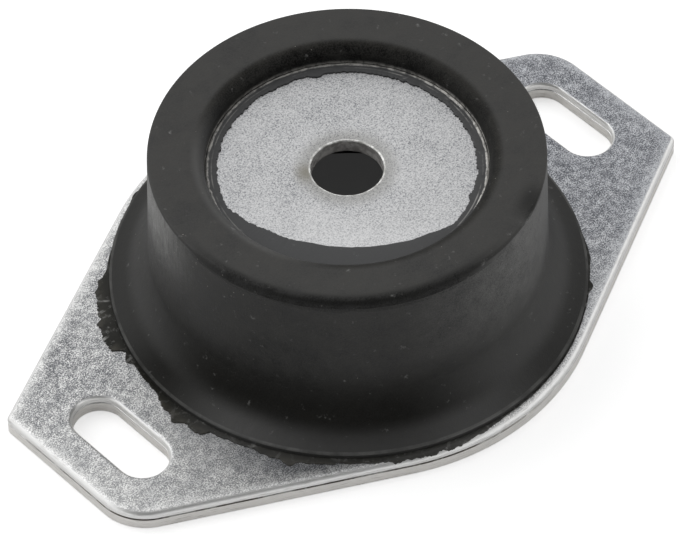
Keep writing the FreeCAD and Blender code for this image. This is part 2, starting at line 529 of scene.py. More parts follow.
# %% Build the flash
def flash_section(degrees):
    """Thin skin lying on the plate, from inside the flange's lip to its ragged edge."""
    inner = flange_radius - 0.3
    edge = flange_radius + flash_reach(degrees)
    while plate_height(edge, degrees)[1] < 0.25:
        edge -= 0.05
    thick = 0.3 + 0.06 * grain_round(degrees, 2.0, 2.2)
    stops = [inner + (edge - inner) * part for part in (0.0, 0.3, 0.55, 0.75, 0.9, 0.97)]
    upper = [Vector((r, plate_height(r, degrees)[0] + thick)) for r in stops]
    rim = [Vector((edge, plate_height(edge, degrees)[0] + thick * share)) for share in (0.6, 0.02)]
    lower = [Vector((r, plate_height(r, degrees)[0] + 0.01)) for r in reversed(stops)]
    return upper + rim + lower


flange_flash = lathe("flange_flash", flash_section, 1800, 50.0)
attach(flange_flash, "root")

# %% [markdown]
# ## Shared shader effects
# Rubber and both steels carry the same kinds of marks at different sizes. The nodes could be
# copied into every material, but a mend would then be made three times. So each mark is a node
# group. A material places it with its own values and keeps its own surface shader.

# %% Node helpers
def add(tree, kind, **values):
    """New node; keywords set its properties."""
    node = tree.nodes.new(kind)
    for label, value in values.items():
        setattr(node, label, value)
    return node


def feed(tree, value, socket):
    """Gives a socket its value: another node's output, a number, or a colour."""
    if isinstance(value, bpy.types.NodeSocket):
        tree.links.new(value, socket)
    elif isinstance(value, tuple):
        socket.default_value = (*value, 1.0)
    else:
        socket.default_value = value


def math_node(tree, operation, *values, clamp=False):
    """Math node on sockets or numbers; gives back its output."""
    node = add(tree, "ShaderNodeMath", operation=operation, use_clamp=clamp)
    for value, socket in zip(values, node.inputs):
        feed(tree, value, socket)
    return node.outputs[0]


def plus(tree, first, second):
    """Sum of two sockets or numbers."""
    return math_node(tree, "ADD", first, second)


def minus(tree, first, second):
    """First less second, each a socket or a number."""
    return math_node(tree, "SUBTRACT", first, second)


def times(tree, first, *others):
    """Product of sockets or numbers, from left to right."""
    product = first
    for other in others:
        product = math_node(tree, "MULTIPLY", product, other)
    return product


def stretch(tree, value, low, high, out_low=0.0, out_high=1.0):
    """Maps low..high to out_low..out_high with soft ends; each is a number or a socket."""
    node = add(tree, "ShaderNodeMapRange", interpolation_type="SMOOTHSTEP")
    for label, given in (("Value", value), ("From Min", low), ("From Max", high),
                         ("To Min", out_low), ("To Max", out_high)):
        feed(tree, given, node.inputs[label])
    return node.outputs["Result"]


def fall(tree, value, low, high):
    """1 below low and 0 above high, with soft ends."""
    return stretch(tree, value, low, high, 1.0, 0.0)


# %% [markdown]
# ### Places, textures and colours
# All marks are placed by object coordinates, which go with the piece wherever it is moved. An
# unwrapped mesh and painted images could carry them, but would fit only this one size. Texture
# scales are worked out from a size in millimetres, so a grain of 0.3 is 0.3 mm wide.

# %% Texture and colour helpers
def object_place(tree):
    """Place of the point being shaded, in the piece's own metres."""
    return add(tree, "ShaderNodeTexCoord").outputs["Object"]


def split(tree, vector):
    """The three numbers of a vector."""
    node = add(tree, "ShaderNodeSeparateXYZ")
    feed(tree, vector, node.inputs[0])
    return node.outputs


def flat_place(tree, x, y):
    """Vector for a texture that is laid out flat."""
    node = add(tree, "ShaderNodeCombineXYZ")
    feed(tree, x, node.inputs["X"])
    feed(tree, y, node.inputs["Y"])
    return node.outputs[0]


def scale_for(tree, size):
    """Texture scale that gives features of one size in millimetres."""
    return math_node(tree, "DIVIDE", 1 / MM, size)


def noise_node(tree, place, scale, detail=3.0, roughness=0.55):
    """Value of a noise texture, 0 to 1."""
    node = add(tree, "ShaderNodeTexNoise")
    for label, given in (("Vector", place), ("Scale", scale), ("Detail", detail),
                         ("Roughness", roughness)):
        feed(tree, given, node.inputs[label])
    return node.outputs["Fac"]


def ramp(tree, value, stops):
    """Colour ramp through (position, colour) stops."""
    node = add(tree, "ShaderNodeValToRGB")
    feed(tree, value, node.inputs["Fac"])
    while len(node.color_ramp.elements) < len(stops):
        node.color_ramp.elements.new(0.5)
    for element, (position, colour) in zip(node.color_ramp.elements, stops):
        element.position = position
        element.color = (*colour, 1.0)
    return node.outputs["Color"]


def blend_colour(tree, share, first, second, how="MIX"):
    """Mixes two colours, each a socket or a plain colour."""
    node = add(tree, "ShaderNodeMix", data_type="RGBA", blend_type=how)
    feed(tree, share, node.inputs["Factor"])
    for label, colour in (("A", first), ("B", second)):
        socket = next(s for s in node.inputs if s.name == label and s.type == "RGBA")
        feed(tree, colour, socket)
    return next(s for s in node.outputs if s.type == "RGBA")


# %% [markdown]
# ### Groups and materials
# A group is made once and placed many times. Its inputs could be left bare, but values that
# suit most places let a material name only what differs.

# %% Group and material helpers
EFFECTS = {}


def new_group(name, inputs, outputs):
    """Empty shader group with named number inputs and outputs; gives back its two ends as well."""
    group = bpy.data.node_groups.new(name, "ShaderNodeTree")
    for label, value in inputs:
        socket = group.interface.new_socket(label, in_out="INPUT", socket_type="NodeSocketFloat")
        socket.default_value = value
    for label in outputs:
        group.interface.new_socket(label, in_out="OUTPUT", socket_type="NodeSocketFloat")
    given = group.nodes.new("NodeGroupInput").outputs
    result = group.nodes.new("NodeGroupOutput").inputs
    return group, given, result


def effect(tree, name, **values):
    """Mask of a shared effect, placed with the material's own values."""
    node = add(tree, "ShaderNodeGroup", node_tree=EFFECTS[name])
    for label, value in values.items():
        node.inputs[label].default_value = value
    return node.outputs[0]


def place_on_axis(tree):
    """Angle, radius and height of the point being shaded, in degrees and millimetres."""
    return add(tree, "ShaderNodeGroup", node_tree=EFFECTS["round_the_axis"]).outputs


def new_material(name):
    """Material with only an output and a surface shader."""
    material = bpy.data.materials.new(name)
    material.use_nodes = True
    tree = material.node_tree
    return material, tree, tree.nodes["Principled BSDF"]


def bump(tree, height, strength, distance_mm, before=None):
    """Normal with the relief of a height value, on top of an earlier relief if there is one."""
    node = add(tree, "ShaderNodeBump")
    node.inputs["Strength"].default_value = strength
    node.inputs["Distance"].default_value = distance_mm * MM
    feed(tree, height, node.inputs["Height"])
    if before is not None:
        feed(tree, before, node.inputs["Normal"])
    return node.outputs["Normal"]


# %% [markdown]
# ### Place round the axis
# Almost every mark on a round part follows its radius, its height or its side. Gradient
# textures could give each of these by itself. One group gives all three, in the same degrees
# and millimetres as the sizes above, so a mark and the mesh under it are placed alike.

# %% Effect: place round the axis
def make_round_the_axis():
    """Angle in degrees, radius and height in millimetres of the point being shaded."""
    group, _, result = new_group("round_the_axis", [], ["Angle", "Radius", "Height"])
    x, y, z = split(group, object_place(group))
    across = math_node(group, "SQRT", plus(group, times(group, x, x), times(group, y, y)))
    feed(group, times(group, math_node(group, "ARCTAN2", y, x), 180 / math.pi), result["Angle"])
    feed(group, times(group, across, 1 / MM), result["Radius"])
    feed(group, times(group, z, 1 / MM), result["Height"])
    return group


EFFECTS["round_the_axis"] = make_round_the_axis()
print("made", EFFECTS["round_the_axis"].name)

# %% [markdown]
# ### Fine speckle
# Crystals of zinc, ground steel and moulded rubber all show a fine grain that is denser in some
# places than in others. One noise looks even, as if painted. So a slow noise shifts a fast one
# before both are stretched to a mask.

# %% Effect: fine speckle
def make_fine_speckle():
    """Two sizes of grain mixed, stretched to a 0..1 mask. Sizes are in millimetres."""
    group, given, result = new_group(
        "fine_speckle", [("Grain", 0.3), ("Cloud", 4.0), ("Cloudiness", 0.3)], ["Value"])
    place = object_place(group)
    fine = noise_node(group, place, scale_for(group, given["Grain"]), 2.0)
    cloud = noise_node(group, place, scale_for(group, given["Cloud"]), 4.0)
    shift = times(group, minus(group, cloud, 0.5), given["Cloudiness"])
    feed(group, stretch(group, plus(group, fine, shift), 0.3, 0.7), result["Value"])
    return group


EFFECTS["fine_speckle"] = make_fine_speckle()
print("made", EFFECTS["fine_speckle"].name)

# %% [markdown]
# ### Light flecks
# Dust and grit sit as small dots in loose clusters. Scattered meshes could show them, at the
# cost of thousands of pieces. The cells of a Voronoi texture give one dot each, and a slow
# noise decides how many dots of a place are kept.

# %% Effect: light flecks
def make_light_flecks():
    """Small dots in loose clusters: 1 inside a dot. Spacing and dot size are in millimetres."""
    group, given, result = new_group(
        "light_flecks", [("Spacing", 2.5), ("Dot", 0.12), ("Share", 0.4)], ["Mask"])
    place = object_place(group)
    cells = add(group, "ShaderNodeTexVoronoi")
    feed(group, place, cells.inputs["Vector"])
    feed(group, scale_for(group, given["Spacing"]), cells.inputs["Scale"])
    away = times(group, cells.outputs["Distance"], given["Spacing"])
    dot = math_node(group, "LESS_THAN", away, given["Dot"])
    lot = add(group, "ShaderNodeSeparateColor")
    feed(group, cells.outputs["Color"], lot.inputs[0])
    crowded = stretch(group, noise_node(group, place, 120.0, 2.0), 0.42, 0.68, 0.25, 3.0)
    kept = math_node(group, "LESS_THAN", lot.outputs[0], times(group, crowded, given["Share"]))
    feed(group, times(group, dot, kept), result["Mask"])
    return group


EFFECTS["light_flecks"] = make_light_flecks()
print("made", EFFECTS["light_flecks"].name)

# %% [markdown]
# ### Worn patches
# Wear, stains and dry places have soft ragged borders and no set shape. They could be painted
# by hand, but only for one size of part. A noise cut off at a level looks the same, and the
# level sets how much of the surface is covered.

# %% Effect: worn patches
def make_worn_patches():
    """Large soft patches: 0 to 1. Size is in millimetres, Cover is how much is covered."""
    group, given, result = new_group("worn_patches", [("Size", 12.0), ("Cover", 0.5)], ["Mask"])
    cloud = noise_node(group, object_place(group), scale_for(group, given["Size"]), 5.0, 0.6)
    level = minus(group, 0.75, times(group, given["Cover"], 0.5))
    low = minus(group, level, 0.12)
    high = plus(group, level, 0.12)
    feed(group, stretch(group, cloud, low, high), result["Mask"])
    return group


EFFECTS["worn_patches"] = make_worn_patches()
print("made", EFFECTS["worn_patches"].name)

# %% [markdown]
# ### One side of the part
# Handling, dirt and wear favour one side. A gradient across the piece would cut straight
# through it. A heading and a spread in degrees follow the round form, and a lower and an upper
# height say where the mark comes in.

# %% Effect: one side of the part
def make_one_side():
    """1 near one heading, fading to 0 at Spread degrees away. It comes in between the heights
    Foot and Head, and left as they are it is there at every height."""
    group, given, result = new_group(
        "one_side", [("Heading", 0.0), ("Spread", 30.0), ("Foot", -2.0), ("Head", -1.0)], ["Mask"])
    angle, _, height = place_on_axis(group)
    away = math_node(group, "PINGPONG", minus(group, angle, given["Heading"]), 180.0)
    near = fall(group, math_node(group, "DIVIDE", away, given["Spread"]), 0.0, 1.0)
    rise = stretch(group, height, given["Foot"], given["Head"])
    feed(group, times(group, near, rise), result["Mask"])
    return group


EFFECTS["one_side"] = make_one_side()
print("made", EFFECTS["one_side"].name)

# %% [markdown]
# ## Black rubber
# Carbon black makes the rubber nearly black, so its look comes from how it shines and from what
# lies on it. One dark colour with one roughness would look like paint. So the finish is built
# up in layers, one function each, in the order in which they lie on the part. First comes the
# uneven tone of the moulding, then the handled crown and the thin, cooler skin on the disc.

# %% Rubber: tone and handled top
def rubber_tone(tree, height, patches):
    """Uneven tone, 0 to 1; the sweep at the wall's foot is more even than the wall and crown."""
    fine = effect(tree, "fine_speckle", Grain=0.3, Cloud=2.2, Cloudiness=0.5)
    tone = plus(tree, times(tree, patches, 0.25), times(tree, fine, 0.75))
    lively = stretch(tree, height, 12.0, 27.0, 0.2, 1.0)
    return plus(tree, times(tree, minus(tree, tone, 0.5), lively), 0.5)


def handled_top(tree, colour, radius, height):
    """Faintly brown dust on the crown's ring, cooler and paler on the thin skin."""
    handled = effect(tree, "worn_patches", Size=14.0, Cover=0.6)
    ring = stretch(tree, height, crown_top - 0.8, crown_top - 0.2)
    dusty = times(tree, plus(tree, handled, 0.4), ring, 0.22)
    colour = blend_colour(tree, dusty, colour, (0.040, 0.038, 0.033))
    within = fall(tree, radius, recess_radius - 0.5, recess_radius - 0.1)
    skin = times(tree, within, stretch(tree, height, disc_top + 0.1, disc_top + 0.3), 0.5)
    return blend_colour(tree, skin, colour, (0.060, 0.062, 0.066))


# %% [markdown]
# ### Torn skin and dry scuffs
# The skin is torn and pale where it was pulled off the mould, in a line at the foot of the
# recess. The wall is dry where it dragged in the tool: in streaks on one side, and as a broad
# scuff on the other. Streaks could be cut in the mesh, but each is thinner than its quads. A
# noise stretched up the wall gives them at any fineness.

# %% Rubber: torn skin and dry scuffs
def torn_skin(tree, colour, radius, height):
    """Pale torn line at the foot of the recess, with a thinner thread inside it."""
    ragged = effect(tree, "worn_patches", Size=1.1, Cover=0.55)
    raised = times(tree, stretch(tree, height, film_top + 0.03, film_top + 0.12),
                   fall(tree, radius, 29.25, 29.32), stretch(tree, radius, 28.3, 28.5),
                   plus(tree, times(tree, ragged, 0.65), 0.25))
    shreds = effect(tree, "worn_patches", Size=5.0, Cover=0.4)
    thread = times(tree, stretch(tree, radius, 27.75, 27.85), fall(tree, radius, 28.0, 28.1),
                   stretch(tree, height, film_top - 0.2, film_top - 0.1), shreds, 0.35)
    frayed = effect(tree, "one_side", Heading=-30.0, Spread=85.0)
    pale = blend_colour(tree, frayed, (0.40, 0.39, 0.365), (0.80, 0.78, 0.74))
    return blend_colour(tree, math_node(tree, "ADD", raised, thread, clamp=True), colour, pale)


def dry_scuffs(tree, colour, axis, tone):
    """Drag streaks on one side of the wall and a broad scuff on the other, under the crown."""
    angle, radius, height = axis
    unrolled = flat_place(tree, times(tree, angle, 0.8), times(tree, height, 0.13))
    streaks = stretch(tree, noise_node(tree, unrolled, 1.0, 6.0, 0.8), 0.30, 0.74)
    left = effect(tree, "one_side", Heading=153.0, Spread=28.0, Foot=24.0, Head=39.0)
    right = effect(tree, "one_side", Heading=-68.0, Spread=54.0, Foot=2.0, Head=40.0)
    dragged = times(tree, left, plus(tree, streaks, 0.35), 2.05)
    rubbed = times(tree, right, plus(tree, tone, 0.1), 1.45)
    outside = stretch(tree, radius, crown_radius - 0.4, crown_radius - 0.05)
    below = fall(tree, height, crown_top - 0.8, crown_top - 0.5)
    scuff = times(tree, plus(tree, dragged, rubbed), outside, below, 0.6)
    return blend_colour(tree, scuff, colour, (0.16, 0.16, 0.155))


# %% [markdown]
# ### Painted shade, painted light and dust
# Painted shade darkens the crown's rounded edge on the near side, above the parting groove, and
# a dent in that edge. It shines less, so its mask is kept for the sheen as well. Painted light
# lightens the top of the flange's lip as a highlight, the hollow underneath, and the flange on one
# side. Grit gathers along the crown's edge. A dirt shader that looks for corners could find some
# of these places, but it is slow and takes in every corner alike. Radius and height name each
# place exactly.

# %% Rubber: painted shade, painted light and dust
def painted_edge_shade(tree, radius, tone):
    """Mask of painted shade on the crown's rounded edge on the near side, and in a dent on that edge.
    """
    # painted shade: the crown's rounded edge is darkened unevenly on the near side
    near = effect(tree, "one_side", Heading=-134.4, Spread=72.0, Foot=40.1, Head=41.0)
    edge_shade = times(tree, stretch(tree, near, 0.05, 0.6), stretch(tree, radius, 38.3, 39.9))
    uneven = plus(tree, times(tree, tone, 0.6), 0.5)
    edge_shade = math_node(tree, "MULTIPLY", edge_shade, uneven, clamp=True)
    # painted shade inside the dent on the crown's edge
    dent_shade = effect(tree, "one_side", Heading=-63.0, Spread=9.0, Foot=41.2, Head=41.6)
    dent_shade = times(tree, dent_shade, stretch(tree, radius, 36.0, 39.5, 0.0, 0.75))
    return math_node(tree, "MAXIMUM", edge_shade, dent_shade)


def painted_lip_and_hollow_light(tree, colour, axis, patches):
    """Painted highlight on the top of the flange's lip, painted light in the hollow, and painted light
    on the flange on one side.
    """
    _, radius, height = axis
    # painted highlight, patchy, on the rounded top of the flange's lip
    lip = times(tree, stretch(tree, radius, flange_radius - 0.65, flange_radius - 0.45),
                stretch(tree, height, lip_top - 0.3, lip_top - 0.15))
    lip_highlight = times(tree, lip, plus(tree, patches, 0.25), 0.5)
    colour = blend_colour(tree, lip_highlight, colour, (0.11, 0.11, 0.105))
    # painted light: the inside of the hollow is paler and browner than the rest of the rubber
    hollow_light = times(tree, fall(tree, radius, hollow_mouth - 0.1, hollow_mouth + 0.3),
                   fall(tree, height, disc_bottom - 0.4, disc_bottom))
    colour = blend_colour(tree, hollow_light, colour, (0.070, 0.062, 0.054))
    # painted light: the flange is paler on one side
    flange_light = effect(tree, "one_side", Heading=-168.0, Spread=34.0)
    flange_light = times(tree, flange_light, stretch(tree, radius, 43.5, 46.5, 0.0, 0.12))
    return blend_colour(tree, flange_light, colour, (0.14, 0.14, 0.138))


def dust_and_grit(tree, colour, radius, share):
    """Dust everywhere, and grit that gathers along the crown's edge on one side."""
    dust = effect(tree, "light_flecks", Spacing=2.1, Dot=0.095, Share=share)
    grit = effect(tree, "light_flecks", Spacing=0.9, Dot=0.12, Share=0.3)
    gathered = effect(tree, "one_side", Heading=178.0, Spread=34.0, Foot=33.0, Head=38.0)
    grit = times(tree, grit, stretch(tree, gathered, 0.0, 0.5), stretch(tree, radius, 39.2, 39.8))
    specks = times(tree, math_node(tree, "MAXIMUM", dust, grit), 0.7)
    return blend_colour(tree, specks, colour, (0.30, 0.285, 0.26))


# %% [markdown]
# ### Broken flash
# The flash is thinnest, and so brownest, at its outer edge, and pale cracks split it into
# blocks. The cracks could be gaps in the mesh, but they are as thin as its finest quads. The
# borders between Voronoi cells, laid out flat round the part, show them at any width.

# %% Rubber: broken flash
def block_cracks(tree, angle, radius):
    """Pale cracks that split the flash into blocks, here and there."""
    blocks = add(tree, "ShaderNodeTexVoronoi", feature="DISTANCE_TO_EDGE", voronoi_dimensions="2D")
    unrolled = flat_place(tree, times(tree, angle, 0.2), times(tree, radius, 0.12))
    feed(tree, unrolled, blocks.inputs["Vector"])
    feed(tree, 1.0, blocks.inputs["Scale"])
    crack = fall(tree, blocks.outputs["Distance"], 0.04, 0.08)
    some = effect(tree, "worn_patches", Size=2.2, Cover=0.42)
    near = effect(tree, "one_side", Heading=154.0, Spread=20.0)
    return times(tree, crack, some, plus(tree, times(tree, near, 0.85), 0.15))


def thin_edge(tree, colour, radius, patches):
    """Brown where the flash is thinnest, at its outer edge."""
    thin = times(tree, stretch(tree, radius, 51.0, 53.0), patches, 0.8)
    return blend_colour(tree, thin, colour, (0.075, 0.07, 0.058))


# %% [markdown]
# ### Sheen
# Black rubber is seen mostly by what it mirrors. Roughness alone would blur the mirrored room
# but not dim it. So the strength of the mirroring changes too, and is set by side to paint shade
# and sheen. It is dimmed at the wall's foot on the near side and in the bowl of the recess, and
# raised in the bowl on the left and on the near flange. Under the painted shade of the crown's
# edge it keeps less than half.

# %% Rubber: sheen
def rubber_sheen(tree, radius, height, edge_shade):
    """Strength of the mirroring, 0 to about 1."""
    # painted shade and sheen: the mirroring is dimmed at the wall's foot on the near side and raised
    # on the near flange
    dimmed_side = effect(tree, "one_side", Heading=-146.0, Spread=80.0)
    at_foot = stretch(tree, dimmed_side, 0.1, 0.8, 0.50, 0.02)
    sweep = stretch(tree, height, 11.0, 24.0, at_foot, 0.48)
    front = effect(tree, "one_side", Heading=-133.0, Spread=75.0)
    flange = times(tree, stretch(tree, radius, 44.5, 47.5, 0.0, 0.62),
                   stretch(tree, front, 0.1, 0.8, -0.4, 1.0))
    left = effect(tree, "one_side", Heading=165.0, Spread=80.0)
    bowl = times(tree, fall(tree, radius, 31.0, 32.6),
                 stretch(tree, height, film_top + 0.1, film_top + 0.5, 0.0, -0.38),
                 stretch(tree, left, 0.1, 0.8, 1.0, -0.8))
    sheen = plus(tree, plus(tree, sweep, flange), bowl)
    return times(tree, sheen, minus(tree, 1.0, times(tree, edge_shade, 0.6)))


# %% [markdown]
# ### The two rubbers
# Moulding and flash are one compound, so one function makes both finishes. Two materials with
# all their nodes written out would drift apart. The flash gets more dust, more scrapes and its
# cracks, and a browner tone because it is thin.

# %% Material: black rubber
def make_black_rubber(name, dark, light, flecks, scrapes, broken):
    """Rubber between two tones, with dust, scuffs and a handled top; broken is for the flash."""
    material, tree, shader = new_material(name)
    axis = place_on_axis(tree)
    angle, radius, height = axis
    patches = effect(tree, "worn_patches", Size=7.0, Cover=0.5)
    tone = rubber_tone(tree, height, patches)
    edge_shade = painted_edge_shade(tree, radius, tone)
    colour = ramp(tree, tone, [(0.0, dark), (1.0, light)])
    colour = handled_top(tree, colour, radius, height)
    colour = torn_skin(tree, colour, radius, height)
    colour = dry_scuffs(tree, colour, axis, tone)
    # painted shade, nearly black, on the crown's near edge and in its dent
    colour = blend_colour(tree, edge_shade, colour, (0.006, 0.006, 0.0055))
    colour = painted_lip_and_hollow_light(tree, colour, axis, patches)
    colour = dust_and_grit(tree, colour, radius, flecks)
    pale = times(tree, effect(tree, "worn_patches", Size=1.8, Cover=scrapes), 0.6)
    if broken:
        colour = thin_edge(tree, colour, radius, patches)
        pale = math_node(tree, "MAXIMUM", pale, block_cracks(tree, angle, radius))
    colour = blend_colour(tree, pale, colour, (0.36, 0.36, 0.35))
    feed(tree, colour, shader.inputs["Base Color"])
    feed(tree, stretch(tree, tone, 0.1, 0.9, 0.44, 0.62), shader.inputs["Roughness"])
    feed(tree, rubber_sheen(tree, radius, height, edge_shade), shader.inputs["Specular IOR Level"])
    place = object_place(tree)
    grain = bump(tree, noise_node(tree, place, 3200.0, 3.0), 0.5, 0.06)
    feed(tree, bump(tree, noise_node(tree, place, 300.0, 4.0), 0.35, 0.3, grain),
         shader.inputs["Normal"])
    print(name, len(tree.nodes), "nodes")
    return material


black_rubber = make_black_rubber(
    "black_rubber", (0.001, 0.001, 0.001), (0.030, 0.0295, 0.027), 0.13, 0.0, False)
torn_rubber = make_black_rubber(
    "torn_rubber", (0.005, 0.005, 0.0035), (0.024, 0.023, 0.018), 0.5, 0.16, True)
moulded_rubber.data.materials.append(black_rubber)
flange_flash.data.materials.append(torn_rubber)

# %% [markdown]
# ## Zinc-plated steel
# Plating follows the rolled sheet's own grain, so the flats are a lively speckle of light and
# dark crystals, while the rolled edges are burnished smooth and bright. A picture of plated
# steel could be laid on, but it would have to be unwrapped and would repeat. A speckle sent
# through a ramp of four greys needs neither. Paler patches, and the painted light on one end of
# the flats, are paler mostly grain by grain, so that they keep their sparkle. Painted shade makes
# the other end darker and bluer.

# %% Zinc: speckled flats
def plated_flats(tree, speckle):
    """Crystals from dark to light, with paler patches, painted light on one end, and a few stains."""
    drift = effect(tree, "worn_patches", Size=24.0, Cover=0.55)
    # painted light: the flats are paler at the -X end
    lit_end = effect(tree, "one_side", Heading=-168.0, Spread=40.0, Foot=3.0, Head=3.4)
    paler = math_node(tree, "MAXIMUM", times(tree, drift, 0.4), lit_end)
    grains = plus(tree, speckle, times(tree, paler, 0.14))
    flats = ramp(tree, grains, [
        (0.0, (0.07, 0.075, 0.085)), (0.3, (0.23, 0.235, 0.25)), (0.65, (0.50, 0.50, 0.50)),
        (1.0, (0.95, 0.95, 0.94))])
    veil = plus(tree, times(tree, paler, 0.25), 0.05)
    flats = blend_colour(tree, veil, flats, (0.70, 0.70, 0.69))
    stained = times(tree, effect(tree, "worn_patches", Size=4.0, Cover=0.5), 0.45)
    return blend_colour(tree, stained, flats, (0.60, 0.61, 0.63), "MULTIPLY")


def handled_and_shaded_flats(tree, flats, speckle, x, radius, inside):
    """Darker flats next to the rubber on one side, a rubbed margin, and painted shade, darker and
    bluer, towards one end.
    """
    # the flats are darker next to the rubber on the near side
    darker_by_rubber = effect(tree, "one_side", Heading=-145.0, Spread=48.0, Foot=3.0, Head=3.4)
    darker_by_rubber = times(tree, darker_by_rubber, stretch(tree, radius, 52.0, 62.0, 0.8, 0.0))
    flats = blend_colour(tree, darker_by_rubber, flats, (0.55, 0.56, 0.58), "MULTIPLY")
    rubbed = times(tree, fall(tree, inside, 1.0, 3.4), plus(tree, times(tree, speckle, 0.5), 0.25))
    flats = blend_colour(tree, rubbed, flats, (0.86, 0.86, 0.85))
    # painted shade: the flats turn darker and bluer towards the +X end
    shaded_end = stretch(tree, x, 0.0, 60 * MM, 0.0, 0.95)
    return blend_colour(tree, shaded_end, flats, (0.665, 0.68, 0.72), "MULTIPLY")


# %% [markdown]
# ### How far inside the outline
# The margin of the plate is rubbed, and the torn line is dark only on the outline. A shader
# that looks for edges would find the slots as well. The outline is a belt round discs, so the
# way to it is the least of a few plain measures: one to each straight stretch, and one to the
# round middle.

# %% Zinc: distance from the outline
def inside_outline(tree, place, x, radius):
    """Millimetres from the plate's outline to the point being shaded."""
    corners = plate_corners()
    headings = belt_headings(corners)
    # between these two places the outline is the round middle, and straight beyond them
    arc_end = plate_middle * abs(bearing(headings[1]).x) * MM
    beyond = math_node(tree, "GREATER_THAN", math_node(tree, "ABSOLUTE", x), arc_end)
    nearest = plus(tree, minus(tree, plate_middle, radius), times(tree, beyond, 100.0))
    # the outline looks the same turned half round, so three of its six edges are enough
    for heading, (centre, corner_radius) in list(zip(headings, corners))[:3]:
        normal = bearing(heading)
        across = add(tree, "ShaderNodeVectorMath", operation="DOT_PRODUCT")
        feed(tree, place, across.inputs[0])
        across.inputs[1].default_value = (normal.x / MM, normal.y / MM, 0.0)
        inside = minus(tree, centre.dot(normal) + corner_radius,
                       math_node(tree, "ABSOLUTE", across.outputs["Value"]))
        nearest = math_node(tree, "MINIMUM", nearest, inside)
    return nearest


# %% [markdown]
# ### Punched edge
# The torn line is where the steel began to tear under the punch, so it is rough and dark, and
# painted shade makes it darker still on the near side. Below it the sheared band is paler and
# duller, and faint level scratches run along the whole edge.
# The edge could be a material slot of its own, but its border with the flats would be a hard
# line. Here the tilt of the surface and its height choose the finish, and the grain blurs the
# border.

# %% Zinc: punched edge
def torn_steel_and_shade(tree, place, height, inside):
    """Mask of the torn line, with painted shade that makes it darkest at the front of the outline; it
    is hardly there in the slots.
    """
    line = times(tree, stretch(tree, height, 2.42, 2.68), fall(tree, height, 3.0, 3.2))
    uneven = stretch(tree, noise_node(tree, place, 130.0, 4.0, 0.7), 0.38, 0.56, 0.35, 1.0)
    # painted shade: the line is darker on the near side of the outline
    front = effect(tree, "one_side", Heading=-140.0, Spread=85.0)
    share = times(tree, stretch(tree, front, 0.0, 0.7, 0.3, 1.0),
                  stretch(tree, inside, 2.0, 3.5, 1.0, 0.25))
    return times(tree, times(tree, line, uneven), share)


def punch_scratches(tree, place, level):
    """Mask of faint level scratches along the sheared band and the roll."""
    squeezed = add(tree, "ShaderNodeMapping")
    squeezed.inputs["Scale"].default_value = (240.0, 240.0, 3200.0)
    feed(tree, place, squeezed.inputs["Vector"])
    scratches = stretch(tree, noise_node(tree, squeezed.outputs[0], 1.0, 4.0, 0.7), 0.50, 0.72)
    return times(tree, scratches, minus(tree, 1.0, level), 0.45)


# %% [markdown]
# ### The plate's finish
# Flats and edge are one metal and share one surface shader. Two shaders mixed by a mask could
# show them too, but every value they share would be set twice. The rolled and sheared parts
# mirror the room a little less than the flats, and only the flats have the crystals' relief.

# %% Material: zinc plating
def make_zinc_plating():
    """Speckled flats, bright rolled edges, a thin dark torn line and a dull sheared band."""
    material, tree, shader = new_material("zinc_plating")
    coordinates = add(tree, "ShaderNodeTexCoord").outputs
    place = coordinates["Object"]
    x = split(tree, place)[0]
    upright = math_node(tree, "ABSOLUTE", split(tree, coordinates["Normal"])[2])
    _, radius, height = place_on_axis(tree)
    inside = inside_outline(tree, place, x, radius)
    speckle = effect(tree, "fine_speckle", Grain=0.29, Cloud=1.3, Cloudiness=0.4)
    flats = handled_and_shaded_flats(tree, plated_flats(tree, speckle), speckle, x, radius, inside)
    # the roll fades into the flat through the grain, not along a line
    tilt = plus(tree, upright, times(tree, minus(tree, speckle, 0.75), 0.10))
    level = stretch(tree, tilt, 0.74, 0.92)
    colour = blend_colour(tree, level, (0.93, 0.93, 0.92), flats)
    band = times(tree, math_node(tree, "LESS_THAN", height, band_top),
                 math_node(tree, "LESS_THAN", upright, 0.5))
    colour = blend_colour(tree, band, colour, (0.95, 0.93, 0.90))
    torn = torn_steel_and_shade(tree, place, height, inside)
    # the torn line's dark colour, with painted shade on the near side
    colour = blend_colour(tree, torn, colour, (0.10, 0.085, 0.07))
    scratches = punch_scratches(tree, place, level)
    colour = blend_colour(tree, scratches, colour, (0.30, 0.285, 0.26))
    rough = plus(tree, plus(tree, times(tree, level, 0.18), 0.30), times(tree, band, 0.04))
    feed(tree, colour, shader.inputs["Base Color"])
    feed(tree, stretch(tree, level, 0.0, 1.0, 0.7, 0.9), shader.inputs["Metallic"])
    feed(tree, rough, shader.inputs["Roughness"])
    feed(tree, bump(tree, times(tree, speckle, level), 0.45, 0.04), shader.inputs["Normal"])
    print("zinc_plating", len(tree.nodes), "nodes")
    return material


zinc_plating = make_zinc_plating()
pressed_plate.data.materials.append(zinc_plating)

# %% [markdown]
# ## Bare steel disc
# The disc was cleaned for bonding and left bare, so it is finer and more even than the plate.
# It could share the plate's finish with other values, but it has no crystals and no margin. Its
# marks all follow the bolt hole: a dull halo, a brown smear on one side, a bright rolled rim
# with burrs, and a dirty bore. So it is a small finish of its own, made of the same effects.

# %% Steel: marks round the bolt hole
def hole_marks(tree, colour, radius):
    """Dull halo round the hole, with a brown smear of rubber on one side."""
    halo = times(tree, fall(tree, radius, 8.2, 12.0), 0.5)
    colour = blend_colour(tree, halo, colour, (0.24, 0.235, 0.215))
    smear = effect(tree, "one_side", Heading=146.0, Spread=26.0, Foot=37.0, Head=37.4)
    near = times(tree, fall(tree, radius, 8.6, 12.2), smear, 0.8)
    return blend_colour(tree, near, colour, (0.24, 0.228, 0.19))


# %% [markdown]
# ### The disc's finish
# The bore is dull and dirty, and mirrors much less than the face. It could be given a second
# material, but the border would follow the mesh. Height and radius tell the bore from the face
# just as well, and the border between them is soft.

